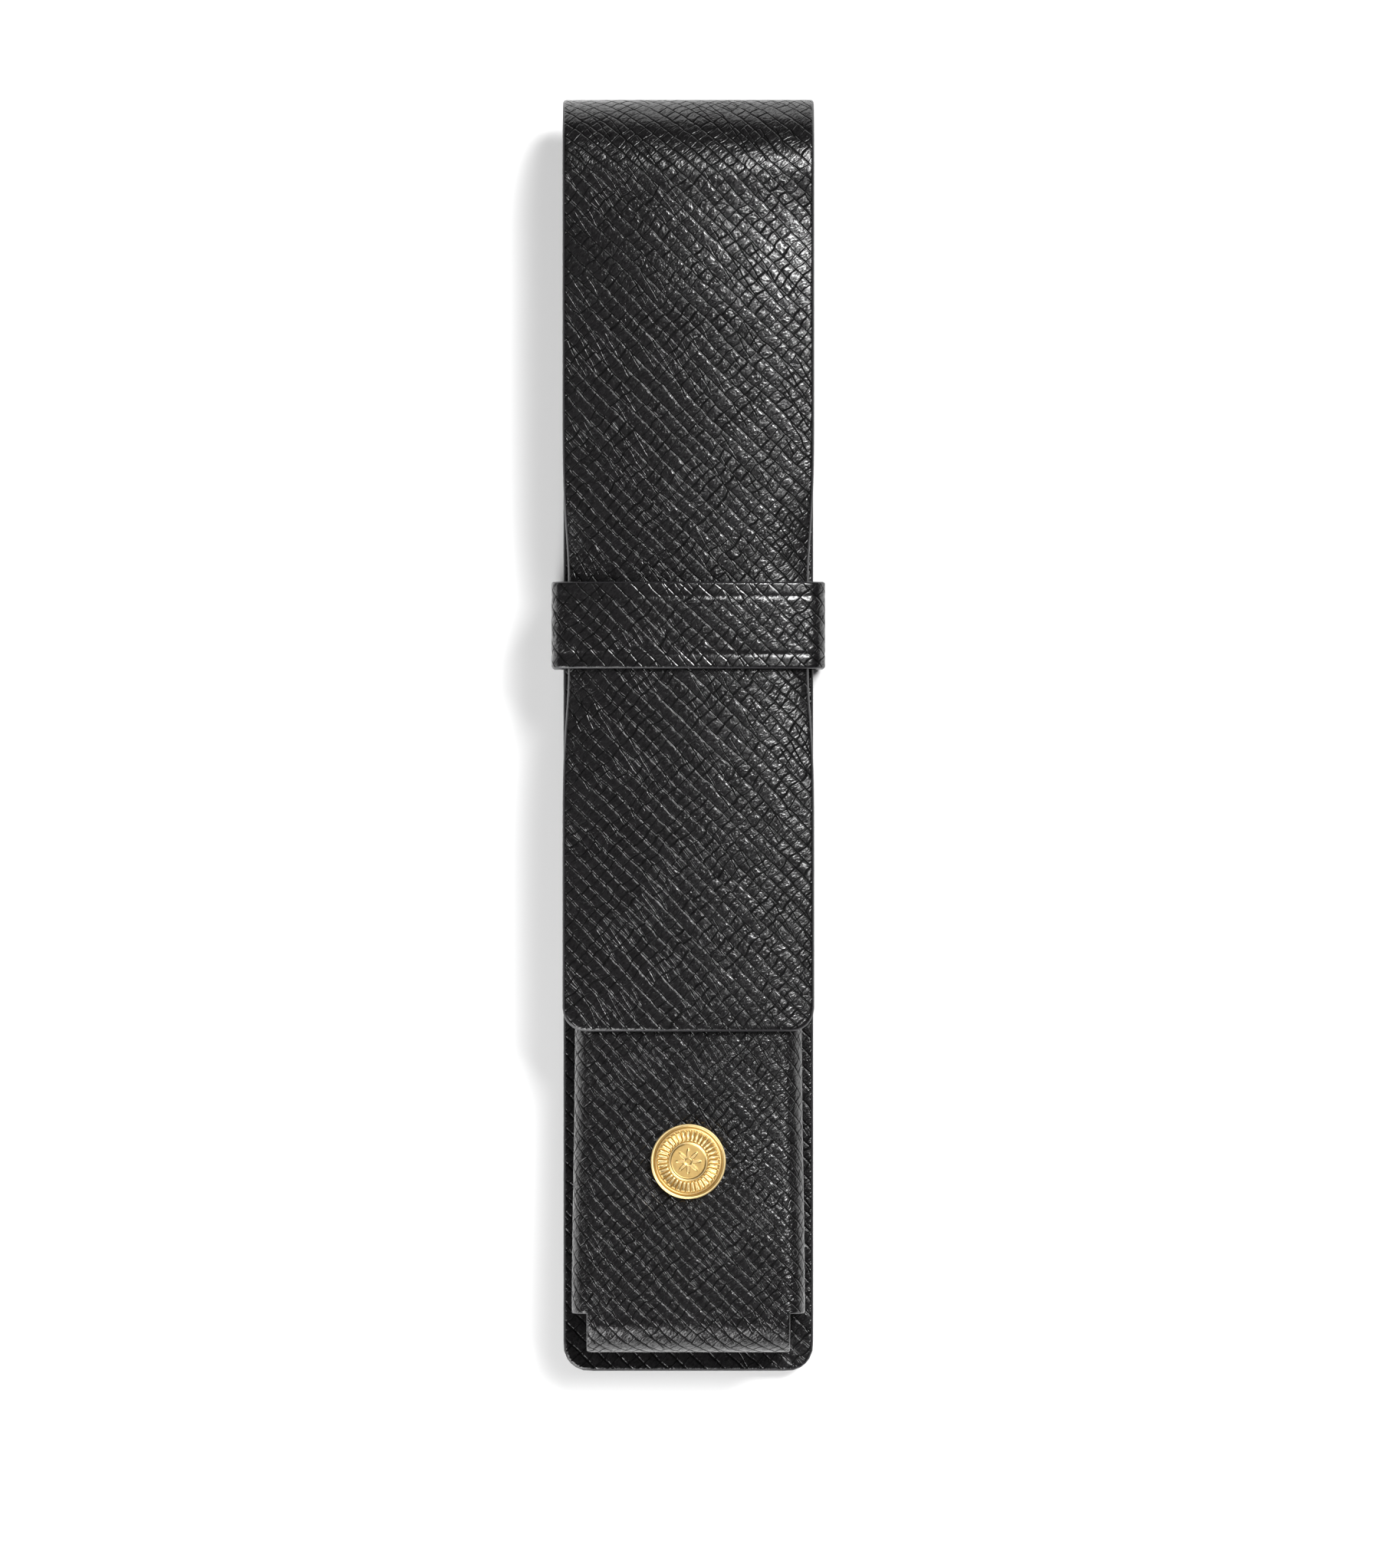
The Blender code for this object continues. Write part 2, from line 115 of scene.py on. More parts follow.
def add_surface(tree, **inputs):
    """The surface shader, linked to the output. Input names are written with underscores."""
    inputs = {name.replace("_", " "): value for name, value in inputs.items()}
    shader = add_node(tree, "ShaderNodeBsdfPrincipled", inputs)
    add_node(tree, "ShaderNodeOutputMaterial", {"Surface": shader.outputs[0]})


def add_softbox(name, azimuth, elevation, distance, size, power):
    """A square softbox that faces the middle of the case."""
    turn, rise = math.radians(azimuth), math.radians(elevation)
    way = Vector((math.cos(turn) * math.cos(rise), math.sin(turn) * math.cos(rise), math.sin(rise)))
    middle = (cad_low + cad_high) / 2
    bpy.ops.object.light_add(type="AREA", location=middle + way * distance,
                             rotation=way.to_track_quat("Z", "Y").to_euler())
    box = bpy.context.object
    box.name = name
    box.data.shape = "SQUARE"
    box.data.size = size
    box.data.energy = power


bpy.ops.object.camera_add(location=CAMERA_AT, rotation=(0, 0, 0))
camera = bpy.context.object
camera.name = "camera"
camera.data.sensor_width = SENSOR
camera.data.lens = SENSOR * CAMERA_AT[2] / VIEW_HEIGHT
bpy.context.scene.camera = camera
bpy.context.scene.view_settings.view_transform = "Standard"

add_softbox("key_softbox", azimuth=45, elevation=63.5, distance=1.8, size=0.56, power=38.0)
add_softbox("side_fill", azimuth=236, elevation=26, distance=1.2, size=1.10, power=25.0)

world = bpy.data.worlds.new("studio_air")
world.use_nodes = True
world.node_tree.nodes["Background"].inputs["Color"].default_value = linear(AIR)
world.node_tree.nodes["Background"].inputs["Strength"].default_value = AIR_STRENGTH
bpy.context.scene.world = world

bpy.ops.mesh.primitive_plane_add(size=4, location=(0, 0, cad_low.z - 0.05 * MM))
paper_sheet = bpy.context.object
paper_sheet.name = "paper"
paper, tree = new_material("Matt white background paper")
add_surface(tree, Base_Color=linear(PAPER), Roughness=0.9)
paper_sheet.data.materials.append(paper)


# The strip: one length of black cross-grained calf. It is the back panel, turns over at the top in a
# half-round fold, and comes down the front as the flap. Its edges are pared, pressed flat and painted black.
EDGE_BLACK = "#232224"
GRAIN_PLATE = "#151415"
# The crease colour below is painted shade: near black, where shadow falls in the creases.
GRAIN_CREASE_SHADE = "#050505"
MAIN_PITCH = 1.6
CROSS_PITCH = 1.3
RELIEF = 0.008
LEATHER = 1.0
PARED = 0.42
SMOOTH_EDGE = 0.8
CROWN = 1.4
CROWN_STARTS = 8.0
CROWN_AT_TIP = 1.12
CROWN_AT_FOLD = 0.84
CROWN_FROM = -10.0
CROWN_TO = 45.0
FOLD_SINK = 0.6
FOLD_SINK_REACH = 18.0
WAIST = 0.045
WAIST_SINK = 0.8
WAIST_REACH = 9.0
FOLD_PIECES = 4
BACK_CORNER = 3.3
FLAP_CORNER = 3.0
BACK_CELL = 1.3
FOLD_CELL = 1.04
FLAP_CELL = 1.0
STRIP_GRAIN_AT = 0.4


def box_mm(node):
    """The lowest and highest corner of a CAD node, in millimetres."""
    low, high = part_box(node)
    return np.array(low) / MM, np.array(high) / MM


def drift(x, y, spacing, phase):
    """A smooth wander between about -1 and 1, whose swells are about spacing apart."""
    rate = 2 * math.pi / spacing
    return (np.sin(rate * (0.81 * x + 0.59 * y) + phase) + np.sin(rate * (1.36 * y - 0.57 * x) + 2.1 * phase)
            + np.sin(rate * (0.82 * x - 0.23 * y) + 3.7 * phase)) / 3


def grain_lines(x, s, phase):
    """Where a point lies in the grain: cells along the main creases and cells across them."""
    main = (x - s) / math.sqrt(2) / MAIN_PITCH
    cross = (x + s) / math.sqrt(2) / CROSS_PITCH
    main = main + 0.45 * drift(x, s, 60, phase) + 0.12 * drift(x, s, 13, phase + 1)
    cross = cross + 0.35 * drift(x, s, 40, phase + 2) + 0.2 * drift(x, s, 6, phase + 3)
    return cross, main


def grain_height(cross, main):
    """The soft swell of the cells, as far as the mesh shows it. The crisp creases are in the material."""
    return RELIEF * (0.5 - 0.5 * np.cos(2 * np.pi * main)) * (0.75 - 0.25 * np.cos(2 * np.pi * cross))


def cross_grain_leather():
    """Calf pressed with a cross grain: two families of creases at about 45 degrees leave small raised cells,
    each finely wrinkled. A thin black finish makes it semi-matt, with glints on the cells' edges."""
    material, tree = new_material("Black cross-grained calf, semi-matt")

    def maths(operation, first, second=0.0, third=0.0):
        inputs = {0: first, 1: second, 2: third}
        return add_node(tree, "ShaderNodeMath", inputs, operation=operation).outputs[0]

    def vector(operation, first, second):
        inputs = {0: first, 1: second}
        return add_node(tree, "ShaderNodeVectorMath", inputs, operation=operation).outputs[0]

    def ramp(value, low, high, to_low=0.0, to_high=1.0, kind="SMOOTHSTEP"):
        inputs = {0: value, 1: low, 2: high, 3: to_low, 4: to_high}
        return add_node(tree, "ShaderNodeMapRange", inputs, interpolation_type=kind).outputs[0]

    # The cells: a whole step in uv is one cell, and the lines between them wander a little.
    uv = add_node(tree, "ShaderNodeUVMap", uv_map="grain").outputs[0]
    wobble = add_node(tree, "ShaderNodeTexNoise", {"Vector": uv, "Scale": 0.9, "Detail": 0.6})
    centred = vector("SUBTRACT", wobble.outputs["Color"], (0.5, 0.5, 0.5))
    spot = vector("ADD", uv, vector("MULTIPLY", centred, (0.5, 0.20, 0)))
    split = add_node(tree, "ShaderNodeSeparateXYZ", {0: spot})
    along, main = split.outputs[0], split.outputs[1]
    row = maths("FLOOR", main)
    in_row = maths("FRACT", main)
    row_luck = add_node(tree, "ShaderNodeTexWhiteNoise", {"W": row}, noise_dimensions="1D").outputs["Value"]
    across = maths("ADD", along, maths("MULTIPLY_ADD", row_luck, 0.36, -0.18))
    cell = add_node(tree, "ShaderNodeCombineXYZ", {0: row, 1: maths("FLOOR", across)}).outputs[0]
    luck = add_node(tree, "ShaderNodeTexWhiteNoise", {"Vector": cell}, noise_dimensions="2D")
    cell_luck = luck.outputs["Value"]
    split_luck = add_node(tree, "ShaderNodeSeparateColor", {0: luck.outputs["Color"]})

    # The creases: deep along each row, shallower and uneven across it, with a few stray ones.
    main_gap = maths("PINGPONG", main, 0.5)
    cross_gap = maths("PINGPONG", across, 0.5)
    main_crease = maths("MULTIPLY", ramp(in_row, 0.02, 0.15), ramp(in_row, 0.91, 0.99, 1.0, 0.0))
    slope = ramp(in_row, 0.0, 0.9, 0.6, 1.0, "LINEAR")
    lean = maths("MULTIPLY", maths("SUBTRACT", in_row, 0.5), maths("SUBTRACT", split_luck.outputs[0], 0.5))
    lean = maths("MULTIPLY_ADD", maths("SUBTRACT", maths("FRACT", across), 0.5),
                 maths("SUBTRACT", split_luck.outputs[1], 0.5), lean)
    cross_crease = maths("MAXIMUM", ramp(cross_gap, 0.02, 0.13), ramp(cell_luck, 0.3, 1.0, 0.20, 0.85))
    stray_line = maths("PINGPONG", maths("MULTIPLY_ADD", along, 0.19, main), 0.5)
    stray_here = add_node(tree, "ShaderNodeTexNoise", {"Vector": uv, "Scale": 0.23, "Detail": 0.0}).outputs[0]
    stray = maths("MAXIMUM", ramp(stray_line, 0.0, 0.09), ramp(stray_here, 0.5, 0.6, 1.0, 0.0))
    plate = maths("MULTIPLY", maths("MULTIPLY", main_crease, cross_crease), stray)
    dome = maths("MULTIPLY", ramp(main_gap, 0.0, 0.5), ramp(cross_gap, 0.0, 0.5, 0.55, 1.0))

    # The skin of each cell: wrinkles a quarter to half a millimetre apart, and pores.
    wrinkle_spot = add_node(tree, "ShaderNodeCombineXYZ", {
        0: maths("MULTIPLY", across, 5.0),
        1: maths("MULTIPLY", main, 3.0),
        2: maths("MULTIPLY", cell_luck, 40)})
    wrinkle = add_node(tree, "ShaderNodeTexNoise", {
        "Vector": wrinkle_spot.outputs[0], "Scale": 1.0, "Detail": 1.6, "Distortion": 0.6}).outputs[0]
    pores = add_node(tree, "ShaderNodeTexNoise", {"Vector": uv, "Scale": 13.0, "Detail": 2.0}).outputs[0]

    # The height in millimetres. Where grain_depth is low, the leather has been pressed flat.
    plate_height = 0.060
    dome_height = 0.012
    lean_height = 0.07
    wrinkle_height = 0.062
    pore_height = 0.009
    pressed = add_node(tree, "ShaderNodeAttribute", attribute_name="grain_depth").outputs["Fac"]
    inside = maths("MULTIPLY", ramp(main_gap, 0.06, 0.2), ramp(cross_gap, 0.04, 0.18))
    wrinkled = maths("MULTIPLY", maths("SUBTRACT", wrinkle, 0.5), inside)
    height = maths("MULTIPLY", maths("MULTIPLY", plate, slope), plate_height)
    height = maths("MULTIPLY_ADD", dome, dome_height, height)
    height = maths("MULTIPLY_ADD", maths("MULTIPLY", lean, inside), lean_height, height)
    height = maths("MULTIPLY_ADD", wrinkled, wrinkle_height, height)
    height = maths("MULTIPLY", height, pressed)
    height = maths("MULTIPLY_ADD", pores, pore_height, height)
    bump = add_node(tree, "ShaderNodeBump", {"Height": height, "Distance": MM, "Strength": 1.0}).outputs[0]

    # The finish: duller down in the creases, with painted shade there: the creases are coloured near black
    # and their reflection is turned down, as shadow would darken them. The cells differ at random in tone.
    crease_shade_and_cell_tone = maths("MULTIPLY", plate, ramp(cell_luck, 0, 1, 0.7, 1.0, "LINEAR"))
    colour = mix_colours(tree, crease_shade_and_cell_tone, GRAIN_CREASE_SHADE, GRAIN_PLATE)
    polished_and_lit = maths("MULTIPLY", maths("MULTIPLY", ramp(in_row, 0.03, 0.13), cross_crease), stray)
    roughness = maths("ADD", ramp(polished_and_lit, 0.2, 0.8, 0.50, 0.13), maths("MULTIPLY", pores, 0.16))
    # Painted shade on the reflection: the specular level is turned down in the creases and in the wrinkles'
    # hollows, standing in for the shadow there. The plate mask also sets the real roughness above.
    crease_shade_on_gloss = maths("MULTIPLY", ramp(polished_and_lit, 0.25, 0.85, 0.08, 0.80), ramp(wrinkle, 0.38, 0.56, 0.30, 1.0))
    add_surface(tree, Base_Color=colour, Roughness=roughness, Normal=bump, IOR=1.5, Specular_IOR_Level=crease_shade_on_gloss)
    return material


def mottle(tree, scale, detail):
    """Noise through the piece, in cycles to the metre."""
    spot = add_node(tree, "ShaderNodeTexCoord").outputs["Object"]
    return add_node(tree, "ShaderNodeTexNoise", {"Vector": spot, "Scale": scale, "Detail": detail}).outputs[0]


def bumps(tree, height, depth):
    """The normal of a surface that height, from 0 to 1, raises by up to depth millimetres."""
    inputs = {"Height": height, "Distance": depth * MM, "Strength": 1.0}
    return add_node(tree, "ShaderNodeBump", inputs).outputs[0]


def painted_edge():
    """Black edge paint, laid on in coats and rubbed: smooth, semi-gloss, slightly uneven along the edge."""
    material, tree = new_material("Black edge paint, rubbed")
    waves = mottle(tree, 900.0, 2.0)
    bump = bumps(tree, waves, 0.03)
    rough = spread(tree, waves, 0.28, 0.42)
    add_surface(tree, Base_Color=linear(EDGE_BLACK), Roughness=rough, Normal=bump)
    return material


def route(start, heading, *runs):
    """The line that a bent sheet's face follows, seen end on. Each run is its length and how far it turns, in
    degrees, to the left. Gives distance, place and heading at close steps."""
    step = 0.04
    headings, lengths = [], []
    for length, turn in runs:
        count = max(1, round(length / step))
        headings.append(np.radians(heading + turn * (np.arange(count) + 0.5) / count))
        lengths.append(np.full(count, length / count))
        heading += turn
    headings, lengths = np.concatenate(headings), np.concatenate(lengths)
    u = start[0] + np.append(0, np.cumsum(lengths * np.cos(headings)))
    v = start[1] + np.append(0, np.cumsum(lengths * np.sin(headings)))
    at = np.append(0, np.cumsum(lengths))
    return at, u, v, np.append(headings, headings[-1])


def follow(line, distance, depth):
    """Points at that distance along a route, and that depth to its left."""
    at, u, v, headings = line
    heading = np.interp(distance, at - (at[1] - at[0]) / 2, headings)
    return (np.interp(distance, at, u) - depth * np.sin(heading),
            np.interp(distance, at, v) + depth * np.cos(heading))


def ease(value, low, high):
    """0 below low, 1 above high, and smooth in between."""
    share = np.clip((value - low) / (high - low), 0, 1)
    return share * share * (3 - 2 * share)


def points_of(piece):
    """A mesh's vertices as an array."""
    flat = np.empty(len(piece.data.vertices) * 3)
    piece.data.vertices.foreach_get("co", flat)
    return flat.reshape(-1, 3)


def move_points(piece, points):
    """Puts a mesh's vertices where the array says."""
    piece.data.vertices.foreach_set("co", points.ravel())
    piece.data.update()


def pick(piece, kind, wanted):
    """Enters edit mode with just those faces or edges selected that wanted says yes to."""
    bpy.ops.object.mode_set(mode="EDIT")
    bpy.ops.mesh.select_mode(type=kind)
    bpy.ops.mesh.select_all(action="DESELECT")
    cage = bmesh.from_edit_mesh(piece.data)
    for part in (cage.faces if kind == "FACE" else cage.edges):
        if wanted(part):
            part.select_set(True)
    bmesh.update_edit_mesh(piece.data)


def cut_sheet(name, width, start, end, thickness, cell, corners=(0, 0), pared=PARED,
              butted=(False, False), cuts=3, shape=None, drop=None, fine=None):
    """A flat sheet, face up at z 0, that runs from start to end along y. Its corners are rounded, its upper
    edge is pared round except where it is butted to the next piece, and its face is cut fine."""
    bpy.ops.object.select_all(action="DESELECT")
    bpy.ops.mesh.primitive_grid_add(x_subdivisions=max(2, round(width / cell)),
                                    y_subdivisions=max(2, round((end - start) / cell)), size=1)
    sheet = bpy.context.object
    sheet.name = sheet.data.name = name
    flat = points_of(sheet)
    x, y = flat[:, 0] * width, start + (flat[:, 1] + 0.5) * (end - start)
    for radius, tip, way in zip(corners, (start, end), (-1, 1)):
        over_x, over_y = np.abs(x) - width / 2 + radius, way * (y - tip) + radius
        inside = (over_x > 1e-6) & (over_y > 1e-6)
        shrink = np.where(inside, np.maximum(over_x, over_y) / np.maximum(np.hypot(over_x, over_y), 1e-6), 1)
        x = np.where(inside, np.sign(x) * (width / 2 - radius + over_x * shrink), x)
        y = np.where(inside, tip + way * (over_y * shrink - radius), y)
    if shape:
        x, y = shape(x, y)
    move_points(sheet, np.stack([x, y, np.zeros(len(x))], axis=1))
    if drop:
        pick(sheet, "FACE", lambda f: drop(*f.calc_center_median()[:2]))
        bpy.ops.mesh.delete(type="FACE")
        bpy.ops.object.mode_set(mode="OBJECT")

    solid = sheet.modifiers.new("thickness", "SOLIDIFY")
    solid.thickness = thickness
    solid.offset = -1
    bpy.ops.object.modifier_apply(modifier=solid.name)

    def is_rim(edge):
        ups = sorted(abs(f.normal.z) for f in edge.link_faces)
        middle = (edge.verts[0].co + edge.verts[1].co) / 2
        on_butt = (butted[0] and abs(middle.y - start) < 1e-3) or (butted[1] and abs(middle.y - end) < 1e-3)
        return len(ups) == 2 and ups[0] < 0.5 < ups[1] and middle.z > -1e-3 and not on_butt

    if pared:
        pick(sheet, "EDGE", is_rim)
        bpy.ops.mesh.bevel(offset=pared, segments=4, affect="EDGES", clamp_overlap=False)
        bpy.ops.object.mode_set(mode="OBJECT")
    if cuts:
        pick(sheet, "FACE", lambda f: f.normal.z > 0.999 and f.calc_center_median().z > -1e-3
             and (fine is None or fine(*f.calc_center_median()[:2])))
        bpy.ops.mesh.subdivide(number_cuts=cuts)
        bpy.ops.object.mode_set(mode="OBJECT")

    x, y, z = points_of(sheet).T
    from_edge = width / 2 - np.abs(x)
    for radius, tip, way, closed in zip(corners, (start, end), (-1, 1), butted):
        if not closed:
            over_x, over_y = np.abs(x) - width / 2 + radius, way * (y - tip) + radius
            corner = (over_x > 0) & (over_y > 0)
            inward = np.where(corner, radius - np.hypot(over_x, over_y), way * (tip - y))
            from_edge = np.minimum(from_edge, inward)
    sheet.data.attributes.new("from_edge", "FLOAT", "POINT").data.foreach_set("value", from_edge)
    return sheet


def lay_sheet(sheet, place, materials, face=0.0, inward=False, grain=None, phase=0.0,
              smooth_edge=0.0, tooling=None):
    """Presses the grain and any tooling into a flat sheet and bends it into place. Face is how deep the
    sheet's face lies under the outside of the piece that it is part of. A lining's face looks inward."""
    x, s, up = points_of(sheet).T
    mesh = sheet.data
    from_edge = np.empty(len(x))
    mesh.attributes["from_edge"].data.foreach_get("value", from_edge)
    mesh.attributes.remove(mesh.attributes["from_edge"])
    while mesh.uv_layers:
        mesh.uv_layers.remove(mesh.uv_layers[0])
    if grain:
        cross, main = grain_lines(*grain(x, s), phase)
        pressed = ease(from_edge, -0.2, smooth_edge) if smooth_edge else np.ones(len(x))
        relief = grain_height(cross, main) * pressed
        if tooling:
            pressed = pressed * tooling(x, s)[1]
            relief = relief * tooling(x, s)[1] + tooling(x, s)[0]
        up = up + np.where(up > -1e-3, relief, 0)
        corner_of = np.empty(len(mesh.loops), int)
        mesh.loops.foreach_get("vertex_index", corner_of)
        uv = mesh.uv_layers.new(name="grain")
        uv.data.foreach_set("uv", np.stack([cross, main], axis=1)[corner_of].ravel())
        mesh.attributes.new("grain_depth", "FLOAT", "POINT").data.foreach_set("value", pressed)
    steep = np.array([abs(f.normal.z) < 0.9 for f in mesh.polygons], int)
    depth = face + up if inward else face - up
    move_points(sheet, np.stack(place(x, s, depth), axis=1) * MM)
    for material in materials:
        mesh.materials.append(material)
    mesh.polygons.foreach_set("material_index", steep * (len(materials) - 1))
    bpy.ops.object.select_all(action="DESELECT")
    sheet.select_set(True)
    bpy.context.view_layer.objects.active = sheet
    bpy.ops.object.mode_set(mode="EDIT")
    bpy.ops.mesh.select_all(action="SELECT")
    bpy.ops.mesh.normals_make_consistent(inside=False)
    bpy.ops.object.mode_set(mode="OBJECT")
    bpy.ops.object.shade_smooth_by_angle(angle=math.radians(40))
    return sheet


grained_leather = cross_grain_leather()
edge_paint = painted_edge()

strip_low, strip_high = box_mm("back_leather")
flap_low, flap_high = box_mm("flap_leather")
band_low, band_high = box_mm("band_leather")
lining_low, lining_high = box_mm("back_lining")
case_top = cad_high.y / MM

strip_width = strip_high[0] - strip_low[0]
fold_radius = (flap_high[2] - strip_low[2]) / 2
fold_y = case_top - fold_radius
fold_start = fold_y - strip_low[1]
fold_length = math.pi * fold_radius
strip_end = fold_start + fold_length + fold_y - flap_low[1]
strip_line = route((strip_low[1], strip_low[2]), 0, (fold_start, 0), (fold_length, 180),
                   (strip_end - fold_start - fold_length, 0))
band_y = (band_low[1] + band_high[1]) / 2
band_half = (band_high[1] - band_low[1]) / 2


def crown(x):
    """How far the front falls away from its middle towards the sides, because the pocket is full."""
    return CROWN * (2 * x / strip_width) ** 2


def on_strip(x, s, depth):
    """A point of the strip: x across, s along it from the foot of the back, depth under its outside. The flap
    is crowned, sinks a little just past the fold, and is drawn in under the band."""
    share = np.abs(2 * x / strip_width)
    over_fold = fold_start + fold_length
    on_flap = ease(s, fold_start + 0.55 * fold_length, over_fold + CROWN_STARTS)
    on_fold = ease(s, fold_start + 0.5 * fold_length, over_fold)
    y = fold_y - (s - over_fold)
    held = on_flap * np.exp(-(np.maximum(np.abs(y - band_y) - band_half, 0) / WAIST_REACH) ** 2)
    fullness = CROWN_AT_TIP + (CROWN_AT_FOLD - CROWN_AT_TIP) * ease(y, CROWN_FROM, CROWN_TO)
    sunk = crown(x) * fullness * on_flap + WAIST_SINK * held * share ** 6
    sunk = sunk + FOLD_SINK * on_fold * (1 - ease(s, over_fold, over_fold + FOLD_SINK_REACH))
    along, up = follow(strip_line, s, depth + sunk)
    return x * (1 - WAIST * held * share ** 2), along, up


def bend_with_fold(piece, part, layer):
    """A piece of the fold, between two bodies that a hinge joins. It is baked in place and replaces their CAD
    sections, which it hides.
    """
    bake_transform(piece)
    sections = sorted({min(max(n, 1), FOLD_PIECES - 1) for n in (part, part + 1)})
    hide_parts(*[f"fold_{layer}_{n}" for n in sections])


def lay_strip_leather(name, start, end, cell, **cut):
    """A length of the strip's leather, with its grain."""
    sheet = cut_sheet(name, strip_width, start, end, LEATHER, cell, **cut)
    return lay_sheet(sheet, on_strip, [grained_leather, edge_paint], grain=lambda x, s: (x, s),
                     phase=STRIP_GRAIN_AT, smooth_edge=SMOOTH_EDGE)


back = lay_strip_leather("back_panel", 0, fold_start, BACK_CELL,
                         corners=(BACK_CORNER, 0), butted=(False, True))
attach(back, "back")
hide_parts("back_leather")

for part in range(FOLD_PIECES):
    ends = [fold_start + fold_length * (part + i) / FOLD_PIECES for i in (0, 1)]
    fold = lay_strip_leather(f"fold_leather_piece_{part + 1}", *ends, FOLD_CELL, butted=(True, True))
    bend_with_fold(fold, part, "leather")

flap = lay_strip_leather("flap", fold_start + fold_length, strip_end, FLAP_CELL,
                         corners=(0, FLAP_CORNER), butted=(True, False))
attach(flap, "flap")
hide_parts("flap_leather")


# The linings of the strip. The back's is a second piece of the same cross-grained calf, glued over the
# board, and shows as a margin round the pocket. The fold and the flap are lined with thin black suede.
SUEDE_DEEP = "#121112"
SUEDE_NAP = "#2a2729"
SUEDE_THICKNESS = 0.6
SUEDE_PARED = 0.15
GLUED_OVERLAP = 0.02
TURNED_RIM = 1.6
LINING_GRAIN_AT = 2.6
LINING_SMOOTH_EDGE = 0.5


def suede_lining():
    """Split leather with a short raised nap: matt, with a soft sheen, and cloudy where the nap lies over."""
    material, tree = new_material("Black suede split, short nap")
    cloud = mottle(tree, 160.0, 3.0)
    nap = mottle(tree, 3500.0, 2.0)
    colour = mix_colours(tree, cloud, SUEDE_DEEP, SUEDE_NAP)
    bump = bumps(tree, nap, 0.08)
    add_surface(tree, Base_Color=colour, Roughness=0.95, Normal=bump, Sheen_Weight=0.25, Sheen_Roughness=0.5)
    return material


suede = suede_lining()
back_depth = lining_high[2] - strip_low[2]
lining_thick = lining_high[2] - lining_low[2]

back_lining = cut_sheet("back_lining_margin", strip_width, 0, fold_start, lining_thick, BACK_CELL,
                        corners=(BACK_CORNER, 0), butted=(False, True))
spots = points_of(back_lining)
near_rim = (strip_width / 2 - np.abs(spots[:, 0]) < TURNED_RIM) | (spots[:, 1] < TURNED_RIM)
spots[near_rim & (spots[:, 2] < -lining_thick + 0.01), 2] = LEATHER - GLUED_OVERLAP - back_depth
move_points(back_lining, spots)
lay_sheet(back_lining, on_strip, [grained_leather, edge_paint], face=back_depth, inward=True,
          grain=lambda x, s: (x, -s), phase=LINING_GRAIN_AT, smooth_edge=LINING_SMOOTH_EDGE)
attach(back_lining, "back")
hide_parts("back_lining")


def lay_strip_suede(name, start, end, cell, **cut):
    """A length of the strip's suede, glued under its leather."""
    sheet = cut_sheet(name, strip_width, start, end, SUEDE_THICKNESS, cell, pared=SUEDE_PARED, cuts=0, **cut)
    return lay_sheet(sheet, on_strip, [suede, edge_paint], face=LEATHER - GLUED_OVERLAP + SUEDE_THICKNESS,
                     inward=True)


for part in range(FOLD_PIECES):
    ends = [fold_start + fold_length * (part + i) / FOLD_PIECES for i in (0, 1)]
    fold = lay_strip_suede(f"fold_lining_piece_{part + 1}", *ends, FOLD_CELL, butted=(True, True))
    bend_with_fold(fold, part, "lining")

flap_lining = lay_strip_suede("flap_suede", fold_start + fold_length, strip_end, FLAP_CELL,
                              corners=(0, FLAP_CORNER), butted=(True, False))
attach(flap_lining, "flap")
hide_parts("flap_lining")


# The stiffening board: grey millboard, rolled hard, glued between the back panel and its lining. It is the
# CAD node as packed, because nothing of it shows.
BOARD_DARK = "#6a6763"
BOARD_PALE = "#85817b"

board, tree = new_material("Grey millboard, rolled")
fibres = mottle(tree, 1400.0, 3.0)
add_surface(tree, Base_Color=mix_colours(tree, fibres, BOARD_DARK, BOARD_PALE), Roughness=0.9)
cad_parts["back_board"].data.materials.clear()
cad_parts["back_board"].data.materials.append(board)


# The pocket: one cross-shaped piece of the same calf, folded into a box over a wooden form. The sides turn
# down in tight bends and the foot in a wide one. The corners between them are cut out and show raw edges.
SIDE_BEND = 2.65
FOOT_BEND = 4.6
TURN_IN = 1.2
SIDE_GLUED = 3.8
FOOT_GLUED = 1.2
TONGUE_HALF = 13.2
NOTCH_ABOVE_FOOT = 5.1
MOUTH_DIP = 6.0
MOUTH_DIP_WIDTH = 19.8
POCKET_LEATHER = 0.9
POCKET_LINING = 0.5
FLARE = 0.026
FLARE_FROM = 5.0
FLARE_TO = -38.0
CROWN_FADE = 30.0
SIDE_FADE = 8.0
POCKET_CELL = 1.15
POCKET_SUEDE_CELL = 1.6
POCKET_PARED = 0.22
POCKET_GRAIN = 1.15
POCKET_GRAIN_AT = 5.2

pocket_low, pocket_high = box_mm("pocket_leather")
pocket_half = pocket_high[0]
quarter = math.pi / 2
wall = pocket_high[2] - pocket_low[2]
side_line = route((0, 0), 0, (pocket_half - SIDE_BEND, 0), (quarter * SIDE_BEND, -90),
                  (wall - SIDE_BEND - TURN_IN, 0), (quarter * TURN_IN, -90), (SIDE_GLUED, 0))
foot_line = route((pocket_high[1], pocket_high[2]), 180,
                  (pocket_high[1] - pocket_low[1] - FOOT_BEND, 0), (quarter * FOOT_BEND, 90),
                  (wall - FOOT_BEND - TURN_IN, 0), (quarter * TURN_IN, 90), (FOOT_GLUED, 0))
notch_at = pocket_high[1] - pocket_low[1] - NOTCH_ABOVE_FOOT


